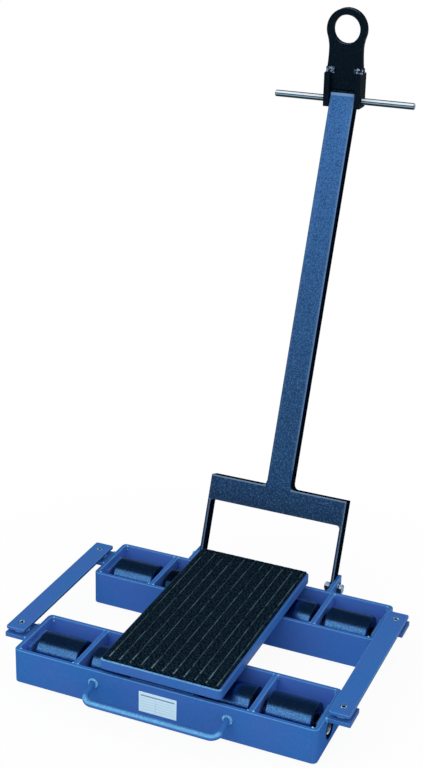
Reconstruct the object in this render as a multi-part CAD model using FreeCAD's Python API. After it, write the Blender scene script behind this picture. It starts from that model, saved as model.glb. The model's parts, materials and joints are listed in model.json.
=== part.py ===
import FreeCAD, Part
import math
import os

# Steerable machine skate. Two roller carriages swivel under a load plate on king pins and are kept parallel
# by two tie bars. A tow bar with a towing eye tilts on ears behind the rear carriage.
# Millimetres. X runs along the rollers, +Y to the tow bar, +Z up. The origin is the middle of the mat's top.

# Fits
running_clearance = 0.05      # radial, between a pin and the hole that it turns or sits in
axial_play = 0.2              # between parts that turn beside each other
cone_clearance = 0.4          # radial, round a countersunk head
edge_round = 1.5              # eased edges of plates and walls
small_round = 0.8             # eased edges of small bars

# Load plate and mat
build_height = 110.0          # floor to the top of the mat
plate_width = 240.5
plate_overhang = 1.0          # past the outer walls of the carriages
plate_thickness = 20.0
plate_corner = 8.0
mat_thickness = 3.5
mat_side_margin = 5.0
mat_end_margin = 3.0
mat_corner = 3.0
groove_count = 11
rib_pitch = 21.4
groove_shift = 2.0            # middle groove to the right of the mat's middle
groove_width = 3.0
groove_depth = 2.0

# Carriages
carriage_spacing = 322.0      # king pin to king pin
swivel_gap = 9.5              # load plate's underside to the top of the carriages
box_length = 603.0
box_depth = 140.0
box_height = 70.0
box_corner = 10.0
wall = 8.0
divider_thickness = 10.0
block_width = 124.0           # over the outer faces of the pivot block's cross plates
cross_plate_thickness = 16.0  # the axles screw into these
block_top_thickness = 12.0
block_base_thickness = 10.0

# King pins
king_pin_diameter = 30.0
king_head_diameter = 56.0
king_head_thickness = 8.0
king_thread_diameter = 24.0
king_bush_diameter = 36.0
king_tube_diameter = 50.0
king_washer_diameter = 44.0
king_washer_thickness = 4.0
king_nut_flats = 36.0
king_nut_thickness = 12.0
king_end_recess = 3.0         # pin's end above the bottom of the carriage
thread_stand = 2.0            # thread that shows past a nut
thrust_washer_diameter = 84.0

# Rollers and axles
roller_diameter = 80.0
spacer_length = 6.8           # between a roller's bush and the wall of its bay
roller_edge = 4.5
axle_diameter = 20.0
axle_thread_diameter = 16.0
axle_thread_recess = 1.0      # axle's end below the face of the end wall
axle_recess_diameter = 36.0   # hole in an end wall, round the axle's nut
axle_pad_thickness = 7.5      # plate inside an end wall, which holds the axle
axle_pad_width = 64.0
axle_pad_drop = 12.0          # from the top of the carriage to the pad
bush_diameter = 28.0
bush_gap = 14.0               # between the two bushes inside a roller
bush_flange_diameter = 36.0
bush_flange_thickness = 1.5
spacer_diameter = 30.0
axle_washer_diameter = 30.0
axle_washer_thickness = 1.5
axle_nut_flats = 24.0
axle_nut_thickness = 5.0

# Tie bars
tie_bar_inset = 2.5           # gap between a tie bar and the end wall, seen from above
tie_bar_width = 40.0
tie_bar_thickness = 6.0
tie_bar_overrun = 25.0        # from a screw to the end of the bar
tie_bar_corner = 4.0
boss_height = 8.5
boss_diameter = 28.0
lug_overhang = 2.0            # past the tie bar's outer edge
lug_depth = 52.0
lug_thickness = 8.0
lug_corner = 1.5
tie_screw_diameter = 8.0
tie_head_diameter = 14.0
tie_head_land = 0.5
tie_head_recess = 0.3
tie_socket_flats = 5.0
tie_socket_depth = 2.5
tie_nut_flats = 13.0
tie_nut_thickness = 6.5

# Carry handle and rating plate on the front wall
handle_diameter = 12.0
handle_span = 267.0
handle_reach = 43.5           # from the wall to the middle of the grip
handle_droop = 13.0
handle_bend = 18.0
handle_drop = 27.0            # from the top of the wall to the handle's roots
rating_plate_width = 75.0
rating_plate_height = 42.0
rating_plate_thickness = 0.8
rating_plate_shift = -2.5
rating_plate_drop = 16.0

# Tow bar, yoke and pivot
tow_lean = 20.0               # degrees back from upright, at rest
pivot_setback = 74.0          # from the rear wall to the pivot
pivot_drop = 34.0             # from the top of the carriage to the pivot
bar_width = 54.0
bar_thickness = 30.0
bar_wall = 3.0
bar_corner = 2.5
bar_cap_stem = 3.0            # end cap inside the bar
bar_cap_margin = 1.0          # from the bar's faces to the cap's crown
bar_top = 1020.0              # from the pivot to the top of the bar
yoke_width = 304.0
yoke_low = 131.0              # from the pivot to the yoke's lower edge
yoke_depth = 53.0
yoke_fillet = 10.0            # between the yoke and the bar
leg_fillet = 7.0              # between the yoke and a leg
leg_width = 6.0
leg_toe = 20.0                # leg below the pivot
leg_toe_round = 14.0
pivot_bolt_diameter = 12.0
pivot_head_flats = 19.0
pivot_head_thickness = 7.5
pivot_nut_thickness = 10.0
pivot_washer_diameter = 24.0
pivot_washer_thickness = 2.5
ear_gap = 0.5                 # between a leg and its ear
ear_thickness = 8.0
ear_margin = 22.0             # ear past the middle of the pivot
ear_top_drop = 14.0           # from the top of the carriage to the ear's upper edge
ear_height = 50.0
ear_round = 18.0

# Cross rod and towing eye
rod_diameter = 14.0
rod_length = 305.0
rod_chamfer = 1.5
rod_drop = 10.5               # from the bar's top to the rod
eye_tilt = 21.5               # degrees forward of the bar, at rest
eye_reach = 145.0             # rod to the middle of the eye
eye_diameter = 86.0
eye_bore = 58.0
eye_thickness = 12.0
eye_neck = 72.0
eye_shoulder = 79.0
eye_flank_radius = 80.0
eye_foot = 22.0               # rod to the lower edge of the eye plate
eye_foot_gap = 1.5            # between the eye plate and the end cap's crown
cheek_gap = 0.75              # between a cheek and the bar
cheek_thickness = 12.0
cheek_depth = 40.0
cheek_below = 14.0
cheek_above = 57.0
cheek_corner = 3.0

# Places that follow from the sizes
mat_bottom = -mat_thickness
plate_bottom = mat_bottom - plate_thickness
box_top = plate_bottom - swivel_gap
box_bottom = box_top - box_height
axle_z = roller_diameter / 2 - build_height
half_box = box_length / 2
plate_length = carriage_spacing + box_depth + 2 * plate_overhang
block_face = block_width / 2
block_inner = block_face - cross_plate_thickness
end_face = half_box - wall
pad_face = end_face - axle_pad_thickness
divider_offset = (block_face + pad_face) / 2
divider_inner = divider_offset - divider_thickness / 2
divider_outer = divider_offset + divider_thickness / 2
roller_width = divider_inner - block_face - 2 * (spacer_length + bush_flange_thickness + axial_play)
bush_length = (roller_width - bush_gap) / 2
tie_x = half_box + tie_bar_inset + tie_bar_width / 2
tie_bar_bottom = box_top + boss_height
tie_bar_top = tie_bar_bottom + tie_bar_thickness
lug_bottom = box_top - lug_thickness
front_wall_y = -(carriage_spacing + box_depth) / 2
rear_wall_y = -front_wall_y
tow_pivot = FreeCAD.Vector(0, rear_wall_y + pivot_setback, box_top - pivot_drop)
rod_height = bar_top - rod_drop
yoke_top = yoke_low + yoke_depth
leg_inner = yoke_width / 2 - leg_width

Vector = FreeCAD.Vector
X_AXIS = Vector(1, 0, 0)
Y_AXIS = Vector(0, 1, 0)
Z_AXIS = Vector(0, 0, 1)
BESIDE = 1.0                  # how far a cutting tool starts and ends outside what it cuts

nodes = {}


def add(name, *solids):
    nodes[name] = solids[0] if len(solids) == 1 else Part.makeCompound(solids)


def block(xs, ys, zs):
    """A box between pairs of limits, given in either order."""
    low = [min(pair) for pair in (xs, ys, zs)]
    size = [max(pair) - min(pair) for pair in (xs, ys, zs)]
    return Part.makeBox(*size, Vector(*low))


def on_axis(shape, start, axis):
    """A shape built upwards from the origin, stood at a point and turned to an axis."""
    placed = shape.copy()
    placed.Placement = FreeCAD.Placement(start, FreeCAD.Rotation(Z_AXIS, axis))
    return placed


def cylinder(diameter, start, axis, length):
    return Part.makeCylinder(diameter / 2, length, start, axis)


def ring(outer, inner, start, axis, length):
    return cylinder(outer, start, axis, length).cut(cylinder(inner, start, axis, length))


def edges_along(shape, axis):
    straight = [edge for edge in shape.Edges if isinstance(edge.Curve, Part.Line)]
    return [edge for edge in straight if abs(edge.tangentAt(edge.FirstParameter).dot(axis)) > 0.999]


def rim_edges(shape, axis):
    """The edges round the two end faces of a shape that was drawn out along an axis."""
    def heights(edge):
        return [point.dot(axis) for point in edge.discretize(5)]
    levels = [height for edge in shape.Edges for height in heights(edge)]
    ends = (min(levels), max(levels))
    flat = [edge for edge in shape.Edges if max(heights(edge)) - min(heights(edge)) < 1e-6]
    return [edge for edge in flat if min(abs(heights(edge)[0] - end) for end in ends) < 1e-6]


def eased(shape, axis, corner, rim):
    """Rounds a bar's or plate's corners along an axis, then the edges of its two faces."""
    if corner:
        shape = shape.makeFillet(corner, edges_along(shape, axis))
    return shape.makeFillet(rim, rim_edges(shape, axis))


def hexagon(flats, thickness, start, axis):
    """A hexagonal nut blank or bolt head with chamfered corners."""
    radius = flats / math.sqrt(3)
    corners = [Vector(radius * math.cos(math.radians(60 * k)), radius * math.sin(math.radians(60 * k)), 0)
               for k in range(7)]
    prism = Part.Face(Part.makePolygon(corners)).extrude(Z_AXIS * thickness)
    drum = Part.makeCylinder(radius, thickness)
    drum = drum.makeChamfer(radius - flats / 2, rim_edges(drum, Z_AXIS))
    return on_axis(prism.common(drum), start, axis)


def nut(flats, thickness, thread, start, axis):
    return hexagon(flats, thickness, start, axis).cut(cylinder(thread, start, axis, thickness))


def bored(diameter):
    """The hole for a pin of this diameter."""
    return diameter + 2 * running_clearance


def plate_from_outline(edges, axis, thickness):
    """A plate cut to an outline and centred on the outline's plane."""
    face = Part.Face(Part.Wire(Part.sortEdges(edges)[0]))
    return face.translated(axis * (-thickness / 2)).extrude(axis * thickness)


def line(start, end):
    return Part.LineSegment(start, end).toShape()


def arc(start, middle, end):
    return Part.Arc(start, middle, end).toShape()


# Load plate, mat and king pins: the body that carries the load
def load_plate():
    plate = block((-plate_width / 2, plate_width / 2), (-plate_length / 2, plate_length / 2),
                  (plate_bottom, mat_bottom))
    plate = eased(plate, Z_AXIS, plate_corner, edge_round)
    for y in (-carriage_spacing / 2, carriage_spacing / 2):
        pin_hole = Vector(0, y, plate_bottom)
        plate = plate.cut(cylinder(bored(king_pin_diameter), pin_hole, Z_AXIS, plate_thickness))
        head_seat = Vector(0, y, mat_bottom - king_head_thickness)
        plate = plate.cut(cylinder(bored(king_head_diameter), head_seat, Z_AXIS, king_head_thickness))
    return plate


def ribbed_mat():
    half_width = plate_width / 2 - mat_side_margin
    half_length = plate_length / 2 - mat_end_margin
    mat = block((-half_width, half_width), (-half_length, half_length), (mat_bottom, 0))
    mat = mat.makeFillet(mat_corner, edges_along(mat, Z_AXIS))
    for k in range(groove_count):
        x = groove_shift + (k - (groove_count - 1) / 2) * rib_pitch
        groove = block((x - groove_width / 2, x + groove_width / 2),
                       (-half_length - BESIDE, half_length + BESIDE), (-groove_depth, BESIDE))
        mat = mat.cut(groove)
    return mat


king_thread_end = box_bottom + king_end_recess
king_nut_bottom = king_thread_end + thread_stand
king_washer_bottom = king_nut_bottom + king_nut_thickness
king_shoulder = king_washer_bottom + king_washer_thickness
block_bottom = king_shoulder + axial_play
block_top_bottom = box_top - block_top_thickness
block_base_top = block_bottom + block_base_thickness


def king_pin(y):
    head_bottom = mat_bottom - king_head_thickness
    head = cylinder(king_head_diameter, Vector(0, y, head_bottom), Z_AXIS, king_head_thickness)
    shank = cylinder(king_pin_diameter, Vector(0, y, king_shoulder), Z_AXIS, head_bottom - king_shoulder)
    thread = cylinder(king_thread_diameter, Vector(0, y, king_thread_end), Z_AXIS,
                      king_shoulder - king_thread_end)
    return head.fuse([shank, thread]).removeSplitter()


def king_washer(y):
    return ring(king_washer_diameter, bored(king_thread_diameter), Vector(0, y, king_washer_bottom), Z_AXIS,
                king_washer_thickness)


def king_nut(y):
    start = Vector(0, y, king_nut_bottom)
    return nut(king_nut_flats, king_nut_thickness, bored(king_thread_diameter), start, Z_AXIS)


king_pin_places = (-carriage_spacing / 2, carriage_spacing / 2)
add("load_plate", load_plate())
add("ribbed_mat", ribbed_mat())
add("king_pins", *[king_pin(y) for y in king_pin_places])
add("king_pin_fasteners", *[piece(y) for y in king_pin_places for piece in (king_washer, king_nut)])


# Carriages, each drawn about its own king pin and moved to its place
def axle_holes(shape):
    start = Vector(-half_box - BESIDE, 0, axle_z)
    return shape.cut(cylinder(bored(axle_diameter), start, X_AXIS, box_length + 2 * BESIDE))


def axle_recesses(shape):
    for side in (-1, 1):
        start = Vector(side * end_face, 0, axle_z)
        shape = shape.cut(cylinder(axle_recess_diameter, start, X_AXIS * side, wall))
    return shape


def frame_shell():
    outer = block((-half_box, half_box), (-box_depth / 2, box_depth / 2), (box_bottom, box_top))
    outer = outer.makeFillet(box_corner, edges_along(outer, Z_AXIS))
    inner = block((-end_face, end_face), (wall - box_depth / 2, box_depth / 2 - wall), (box_bottom, box_top))
    inner = inner.makeFillet(box_corner - wall / 2, edges_along(inner, Z_AXIS))
    shell = outer.cut(inner)
    return shell.makeFillet(edge_round, rim_edges(shell, Z_AXIS))


def cross_plate(middle, thickness):
    """A plate across the box, from wall to wall, with the axle's hole."""
    inside = box_depth / 2 - wall
    plate = block((middle - thickness / 2, middle + thickness / 2), (-inside, inside), (box_bottom, box_top))
    return axle_holes(plate.makeFillet(edge_round, edges_along(plate, Y_AXIS)))


def axle_pad(side):
    """The plate behind an end wall that the axle's nut pulls against."""
    half, top = axle_pad_width / 2, box_top - axle_pad_drop
    return axle_holes(block((side * pad_face, side * end_face), (-half, half), (box_bottom, top)))


def bored_block_plate(low, high):
    inside = box_depth / 2 - wall
    plate = block((-block_inner, block_inner), (-inside, inside), (low, high))
    return plate.cut(cylinder(king_bush_diameter, Vector(0, 0, low), Z_AXIS, high - low))


def pivot_block():
    middle = block_face - cross_plate_thickness / 2
    cross = [cross_plate(side * middle, cross_plate_thickness) for side in (-1, 1)]
    top = bored_block_plate(block_top_bottom, box_top)
    base = bored_block_plate(block_bottom, block_base_top)
    tube = ring(king_tube_diameter, king_bush_diameter, Vector(0, 0, block_base_top), Z_AXIS,
                block_top_bottom - block_base_top)
    return cross + [top, base, tube]


axle_outer_end = half_box - axle_thread_recess
inner_roller = (block_face + divider_inner) / 2
outer_roller = (divider_outer + pad_face) / 2
roller_places = (-outer_roller, -inner_roller, inner_roller, outer_roller)


def axle(side):
    start, shoulder = Vector(side * block_inner, 0, axle_z), Vector(side * end_face, 0, axle_z)
    shaft = cylinder(axle_diameter, start, X_AXIS * side, end_face - block_inner)
    thread = cylinder(axle_thread_diameter, shoulder, X_AXIS * side, axle_outer_end - end_face)
    shaft = shaft.fuse(thread).removeSplitter()
    return shaft.makeChamfer(edge_round, rim_edges(shaft, X_AXIS))


def axle_fasteners(side):
    outwards = X_AXIS * side
    bore = bored(axle_thread_diameter)
    seat = Vector(side * end_face, 0, axle_z)
    washer = ring(axle_washer_diameter, bore, seat, outwards, axle_washer_thickness)
    end_nut = nut(axle_nut_flats, axle_nut_thickness, bore, seat + outwards * axle_washer_thickness, outwards)
    return [washer, end_nut]


def spacers(middle):
    """The two tubes that hold a roller in the middle of its bay."""
    reach = roller_width / 2 + bush_flange_thickness + axial_play
    starts = {side: Vector(middle + side * reach, 0, axle_z) for side in (-1, 1)}
    return [ring(spacer_diameter, bored(axle_diameter), start, X_AXIS * side, spacer_length)
            for side, start in starts.items()]


def tie_lug(side):
    outer = tie_x + tie_bar_width / 2 + lug_overhang
    lug = block((side * half_box, side * outer), (-lug_depth / 2, lug_depth / 2), (lug_bottom, box_top))
    far = [edge for edge in edges_along(lug, Z_AXIS) if abs(edge.CenterOfMass.x) > half_box + lug_overhang]
    lug = lug.makeChamfer(lug_corner, far)
    start = Vector(side * tie_x, 0, lug_bottom)
    return lug.cut(cylinder(bored(tie_screw_diameter), start, Z_AXIS, lug_thickness))


def tie_boss(side):
    start = Vector(side * tie_x, 0, box_top)
    return ring(boss_diameter, bored(tie_screw_diameter), start, Z_AXIS, boss_height)


tie_head_top = tie_bar_top - tie_head_recess
tie_cone_top = tie_head_top - tie_head_land
tie_cone_bottom = tie_cone_top - (tie_head_diameter - tie_screw_diameter) / 2
tie_screw_end = lug_bottom - tie_nut_thickness - thread_stand


def countersunk(x, y, top, clearance, shank_diameter, bottom):
    """A countersunk screw's body, or with clearance the hole that takes it."""
    land = cylinder(tie_head_diameter + 2 * clearance, Vector(x, y, tie_cone_top), Z_AXIS, top - tie_cone_top)
    cone = Part.makeCone(tie_screw_diameter / 2 + clearance, tie_head_diameter / 2 + clearance,
                         tie_cone_top - tie_cone_bottom, Vector(x, y, tie_cone_bottom))
    shank = cylinder(shank_diameter, Vector(x, y, bottom), Z_AXIS, tie_cone_bottom - bottom)
    return land.fuse([cone, shank]).removeSplitter()


def tie_screw(side):
    x = side * tie_x
    screw = countersunk(x, 0, tie_head_top, 0, tie_screw_diameter, tie_screw_end)
    socket_floor = Vector(x, 0, tie_head_top - tie_socket_depth)
    return screw.cut(hexagon(tie_socket_flats, tie_socket_depth, socket_floor, Z_AXIS))


def tie_nut(side):
    start = Vector(side * tie_x, 0, lug_bottom)
    return nut(tie_nut_flats, tie_nut_thickness, bored(tie_screw_diameter), start, -Z_AXIS)


def king_bush():
    start = Vector(0, 0, block_bottom)
    return ring(king_bush_diameter, bored(king_pin_diameter), start, Z_AXIS, box_top - block_bottom)


def thrust_washer():
    start = Vector(0, 0, box_top)
    return ring(thrust_washer_diameter, bored(king_pin_diameter), start, Z_AXIS, swivel_gap)


def roller(middle):
    start = Vector(middle - roller_width / 2, 0, axle_z)
    drum = cylinder(roller_diameter, start, X_AXIS, roller_width)
    drum = drum.makeFillet(roller_edge, rim_edges(drum, X_AXIS))
    return drum.cut(cylinder(bush_diameter, start, X_AXIS, roller_width))


def roller_bushes(middle):
    bushes = []
    for side in (-1, 1):
        face = Vector(middle + side * roller_width / 2, 0, axle_z)
        sleeve = ring(bush_diameter, bored(axle_diameter), face, X_AXIS * -side, bush_length)
        flange = ring(bush_flange_diameter, bored(axle_diameter), face, X_AXIS * side, bush_flange_thickness)
        bushes.append(sleeve.fuse(flange).removeSplitter())
    return bushes


def carriage(name, y):
    shell = axle_recesses(frame_shell())
    straight = half_box - box_corner
    middle = block((-straight, straight), (-box_depth, box_depth), (box_bottom, box_top))
    pieces = {
        "frame_sides": shell.common(middle).Solids,
        "frame_ends": shell.cut(middle).Solids,
        "dividers": [cross_plate(side * divider_offset, divider_thickness) for side in (-1, 1)],
        "axle_pads": [axle_pad(side) for side in (-1, 1)],
        "pivot_block": pivot_block(),
        "king_bush": [king_bush()],
        "thrust_washer": [thrust_washer()],
        "axles": [axle(side) for side in (-1, 1)],
        "axle_fasteners": [piece for side in (-1, 1) for piece in axle_fasteners(side)],
        "spacers": [piece for place in roller_places for piece in spacers(place)],
        "tie_lugs": [tie_lug(side) for side in (-1, 1)],
        "tie_bosses": [tie_boss(side) for side in (-1, 1)],
        "tie_fasteners": [make(side) for side in (-1, 1) for make in (tie_screw, tie_nut)],
    }
    for number, place in enumerate(roller_places, 1):
        pieces[f"roller_{number}"] = [roller(place)]
        pieces[f"roller_bushes_{number}"] = roller_bushes(place)
    for piece, solids in pieces.items():
        add(f"{name}_{piece}", *[solid.translated(Vector(0, y, 0)) for solid in solids])


carriage("front", -carriage_spacing / 2)
carriage("rear", carriage_spacing / 2)


# Tie bars
def tie_bar(side):
    x = side * tie_x
    end = carriage_spacing / 2 + tie_bar_overrun
    bar = block((x - tie_bar_width / 2, x + tie_bar_width / 2), (-end, end), (tie_bar_bottom, tie_bar_top))
    bar = eased(bar, Z_AXIS, tie_bar_corner, small_round)
    for y in king_pin_places:
        bar = bar.cut(countersunk(x, y, tie_bar_top + BESIDE, cone_clearance, bored(tie_screw_diameter),
                                  tie_bar_bottom - BESIDE))
    return bar


add("tie_bar_left", tie_bar(-1))
add("tie_bar_right", tie_bar(1))


# Carry handle and rating plate on the front wall
def carry_handle():
    half = handle_span / 2
    root = Vector(0, front_wall_y, box_top - handle_drop)
    grip = root + Vector(0, -handle_reach, -handle_droop)
    leg = (grip - root).normalize()
    hidden = leg * (wall / 2)
    path = []
    for side in (-1, 1):
        start = root - hidden + X_AXIS * side * half
        bend_start = grip + X_AXIS * side * half - leg * handle_bend
        bend_end = grip + X_AXIS * side * (half - handle_bend)
        diagonal = handle_bend * (1 - math.sqrt(0.5))
        bend_middle = grip + X_AXIS * side * (half - diagonal) - leg * diagonal
        path += [line(start, bend_start), arc(bend_start, bend_middle, bend_end)]
    path.append(line(grip - X_AXIS * (half - handle_bend), grip + X_AXIS * (half - handle_bend)))
    wire = Part.Wire(Part.sortEdges(path)[0])
    first = wire.OrderedVertexes[0].Point
    section = Part.Wire(Part.makeCircle(handle_diameter / 2, first, leg))
    bar = wire.makePipeShell([section], True, False)
    inside = block((-box_length, box_length), (front_wall_y, front_wall_y + box_depth), (2 * box_bottom, 0))
    return bar.cut(inside)


def rating_plate():
    left = rating_plate_shift - rating_plate_width / 2
    top = box_top - rating_plate_drop
    return block((left, left + rating_plate_width), (front_wall_y, front_wall_y - rating_plate_thickness),
                 (top - rating_plate_height, top))


add("carry_handle", carry_handle())
add("rating_plate", rating_plate())


# Ears and pivot bolts behind the rear carriage
ear_inner = yoke_width / 2 + ear_gap
ear_outer = ear_inner + ear_thickness


def tow_ear(side):
    top = box_top - ear_top_drop
    back = tow_pivot.y + ear_margin
    ear = block((side * ear_inner, side * ear_outer), (rear_wall_y, back), (top - ear_height, top))
    behind = [edge for edge in edges_along(ear, X_AXIS) if edge.CenterOfMass.y > tow_pivot.y]
    lowest = min(behind, key=lambda edge: edge.CenterOfMass.z)
    ear = ear.makeFillet(ear_round, [lowest])
    ear = ear.makeFillet(edge_round, rim_edges(ear, X_AXIS))
    start = tow_pivot + X_AXIS * (side * ear_inner)
    return ear.cut(cylinder(bored(pivot_bolt_diameter), start, X_AXIS * side, ear_thickness))


pivot_nut_face = leg_inner - pivot_washer_thickness
pivot_thread_end = pivot_nut_face - pivot_nut_thickness - thread_stand


def pivot_bolt(side):
    outwards = X_AXIS * side
    head_face = ear_outer + pivot_washer_thickness
    head = hexagon(pivot_head_flats, pivot_head_thickness, tow_pivot + outwards * head_face, outwards)
    shank = cylinder(pivot_bolt_diameter, tow_pivot + outwards * pivot_thread_end, outwards,
                     head_face - pivot_thread_end)
    return head.fuse(shank).removeSplitter()


def pivot_fasteners(side):
    outwards = X_AXIS * side
    bore = bored(pivot_bolt_diameter)
    head_side, nut_side = [tow_pivot + outwards * face for face in (ear_outer, pivot_nut_face)]
    washers = [ring(pivot_washer_diameter, bore, start, outwards, pivot_washer_thickness)
               for start in (head_side, nut_side)]
    return washers + [nut(pivot_head_flats, pivot_nut_thickness, bore, nut_side, -outwards)]


add("tow_ears", *[tow_ear(side) for side in (-1, 1)])
add("pivot_bolts", *[pivot_bolt(side) for side in (-1, 1)])
add("pivot_nuts_and_washers", *[piece for side in (-1, 1) for piece in pivot_fasteners(side)])


# Tow bar, drawn upright above its pivot and then leaned back
def leaned(shape):
    return shape.rotated(Vector(0, 0, 0), X_AXIS, -tow_lean).translated(tow_pivot)


def tow_bar():
    half_width, half_depth = bar_width / 2, bar_thickness / 2
    bar = block((-half_width, half_width), (-half_depth, half_depth), (yoke_top, bar_top))
    bar = bar.makeFillet(bar_corner, edges_along(bar, Z_AXIS))
    inner_width, inner_depth = half_width - bar_wall, half_depth - bar_wall
    bar = bar.cut(block((-inner_width, inner_width), (-inner_depth, inner_depth), (yoke_top, bar_top)))
    return bar.cut(cylinder(bored(rod_diameter), Vector(-half_width, 0, rod_height), X_AXIS, bar_width))


def bar_end_cap():
    """Plug in the open end of the bar. Its crown is round about the rod, so that the eye passes over it."""
    half_width, half_depth = bar_width / 2 - bar_wall, bar_thickness / 2 - bar_wall
    stem = block((-half_width, half_width), (-half_depth, half_depth), (bar_top - bar_cap_stem, bar_top))
    half_width, half_depth = bar_width / 2 - bar_cap_margin, bar_thickness / 2 - bar_cap_margin
    crown_radius = eye_foot - eye_foot_gap
    crown = block((-half_width, half_width), (-half_depth, half_depth), (bar_top, rod_height + crown_radius))
    round_top = cylinder(2 * crown_radius, Vector(-half_width, 0, rod_height), X_AXIS, 2 * half_width)
    return stem.fuse(crown.common(round_top)).removeSplitter()


def yoke_crossbar():
    """Flame-cut cross-piece, with a fillet to each leg below and to the bar above."""
    half, bar_half = yoke_width / 2, bar_width / 2
    short = yoke_fillet * (1 - math.sqrt(0.5))
    leg_short = leg_fillet * (1 - math.sqrt(0.5))

    def at(x, z):
        return Vector(x, 0, z)

    edges = [line(at(-bar_half, yoke_top), at(bar_half, yoke_top)),
             line(at(leg_fillet - leg_inner, yoke_low), at(leg_inner - leg_fillet, yoke_low))]
    for side in (-1, 1):
        edges += [
            line(at(side * bar_half, yoke_top), at(side * bar_half, yoke_top + yoke_fillet)),
            arc(at(side * bar_half, yoke_top + yoke_fillet), at(side * (bar_half + short), yoke_top + short),
                at(side * (bar_half + yoke_fillet), yoke_top)),
            line(at(side * (bar_half + yoke_fillet), yoke_top), at(side * half, yoke_top)),
            line(at(side * half, yoke_top), at(side * half, yoke_low)),
            line(at(side * half, yoke_low), at(side * leg_inner, yoke_low)),
            line(at(side * leg_inner, yoke_low), at(side * leg_inner, yoke_low - leg_fillet)),
            arc(at(side * leg_inner, yoke_low - leg_fillet),
                at(side * (leg_inner - leg_short), yoke_low - leg_short),
                at(side * (leg_inner - leg_fillet), yoke_low))]
    return plate_from_outline(edges, Y_AXIS, bar_thickness)


def yoke_leg(side):
    half_depth = bar_thickness / 2
    leg = block((side * leg_inner, side * yoke_width / 2), (-half_depth, half_depth), (-leg_toe, yoke_low))
    toes = [edge for edge in edges_along(leg, X_AXIS) if edge.CenterOfMass.z < 0]
    leg = leg.makeFillet(leg_toe_round, toes)
    start = Vector(side * leg_inner, 0, 0)
    return leg.cut(cylinder(bored(pivot_bolt_diameter), start, X_AXIS * side, leg_width))


def cross_rod():
    rod = cylinder(rod_diameter, Vector(-rod_length / 2, 0, rod_height), X_AXIS, rod_length)
    return rod.makeChamfer(rod_chamfer, rim_edges(rod, X_AXIS))


add("tow_bar", leaned(tow_bar()))
add("bar_end_cap", leaned(bar_end_cap()))
add("yoke_crossbar", leaned(yoke_crossbar()))
add("yoke_legs", *[leaned(yoke_leg(side)) for side in (-1, 1)])
add("cross_rod", leaned(cross_rod()))


# Towing eye, drawn upright above the cross rod and then leaned with the bar and tilted forward
rod_place = leaned(Part.Vertex(0, 0, rod_height)).Point


def tilted(shape):
    return shape.rotated(Vector(0, 0, 0), X_AXIS, eye_tilt - tow_lean).translated(rod_place)


def eye_plate():
    """Ring-ended plate: a tongue between the cheeks, shoulders on top of them, a waisted neck, the ring."""
    tongue, shoulder = bar_width / 2 + cheek_gap, eye_shoulder / 2
    neck, radius = eye_neck / 2, eye_diameter / 2
    flank_x = neck + eye_flank_radius
    waist_below = math.sqrt((radius + eye_flank_radius) ** 2 - flank_x ** 2)
    waist = eye_reach - waist_below
    share = radius / (radius + eye_flank_radius)
    ring_join = (flank_x * share, eye_reach - waist_below * share)
    half_turn = math.atan2(waist_below, flank_x) / 2
    flank_middle = (flank_x - eye_flank_radius * math.cos(half_turn),
                    waist + eye_flank_radius * math.sin(half_turn))
    bow = (shoulder - neck) / 4

    def at(x, z):
        return Vector(x, 0, z)

    edges = [line(at(-tongue, eye_foot), at(tongue, eye_foot)),
             arc(at(-ring_join[0], ring_join[1]), at(0, eye_reach + radius), at(*ring_join))]
    for side in (-1, 1):
        edges += [
            line(at(side * tongue, eye_foot), at(side * tongue, cheek_above)),
            line(at(side * tongue, cheek_above), at(side * shoulder, cheek_above)),
            arc(at(side * shoulder, cheek_above), at(side * (neck + bow), (cheek_above + waist) / 2),
                at(side * neck, waist)),
            arc(at(side * neck, waist), at(side * flank_middle[0], flank_middle[1]),
                at(side * ring_join[0], ring_join[1]))]
    plate = plate_from_outline(edges, Y_AXIS, eye_thickness)
    return plate.cut(cylinder(eye_bore, Vector(0, -eye_thickness, eye_reach), Y_AXIS, 2 * eye_thickness))


def cheek_plate(side):
    inner = bar_width / 2 + cheek_gap
    cheek = block((side * inner, side * (inner + cheek_thickness)), (-cheek_depth / 2, cheek_depth / 2),
                  (-cheek_below, cheek_above))
    cheek = eased(cheek, X_AXIS, cheek_corner, small_round)
    start = Vector(side * inner, 0, 0)
    return cheek.cut(cylinder(bored(rod_diameter), start, X_AXIS * side, cheek_thickness))


add("eye_plate", tilted(eye_plate()))
add("cheek_plates", *[tilted(cheek_plate(side)) for side in (-1, 1)])

os.makedirs("parts", exist_ok=True)
for name, shape in nodes.items():
    shape.exportStep(os.path.join("parts", f"{name}.step"))
print(len(nodes), "nodes,", sum(len(shape.Solids) for shape in nodes.values()), "solids")
for name, shape in nodes.items():
    if not shape.isValid():
        print("not valid:", name)
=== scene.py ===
import json
import math

import bmesh
import bpy
from mathutils import Matrix, Vector


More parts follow.
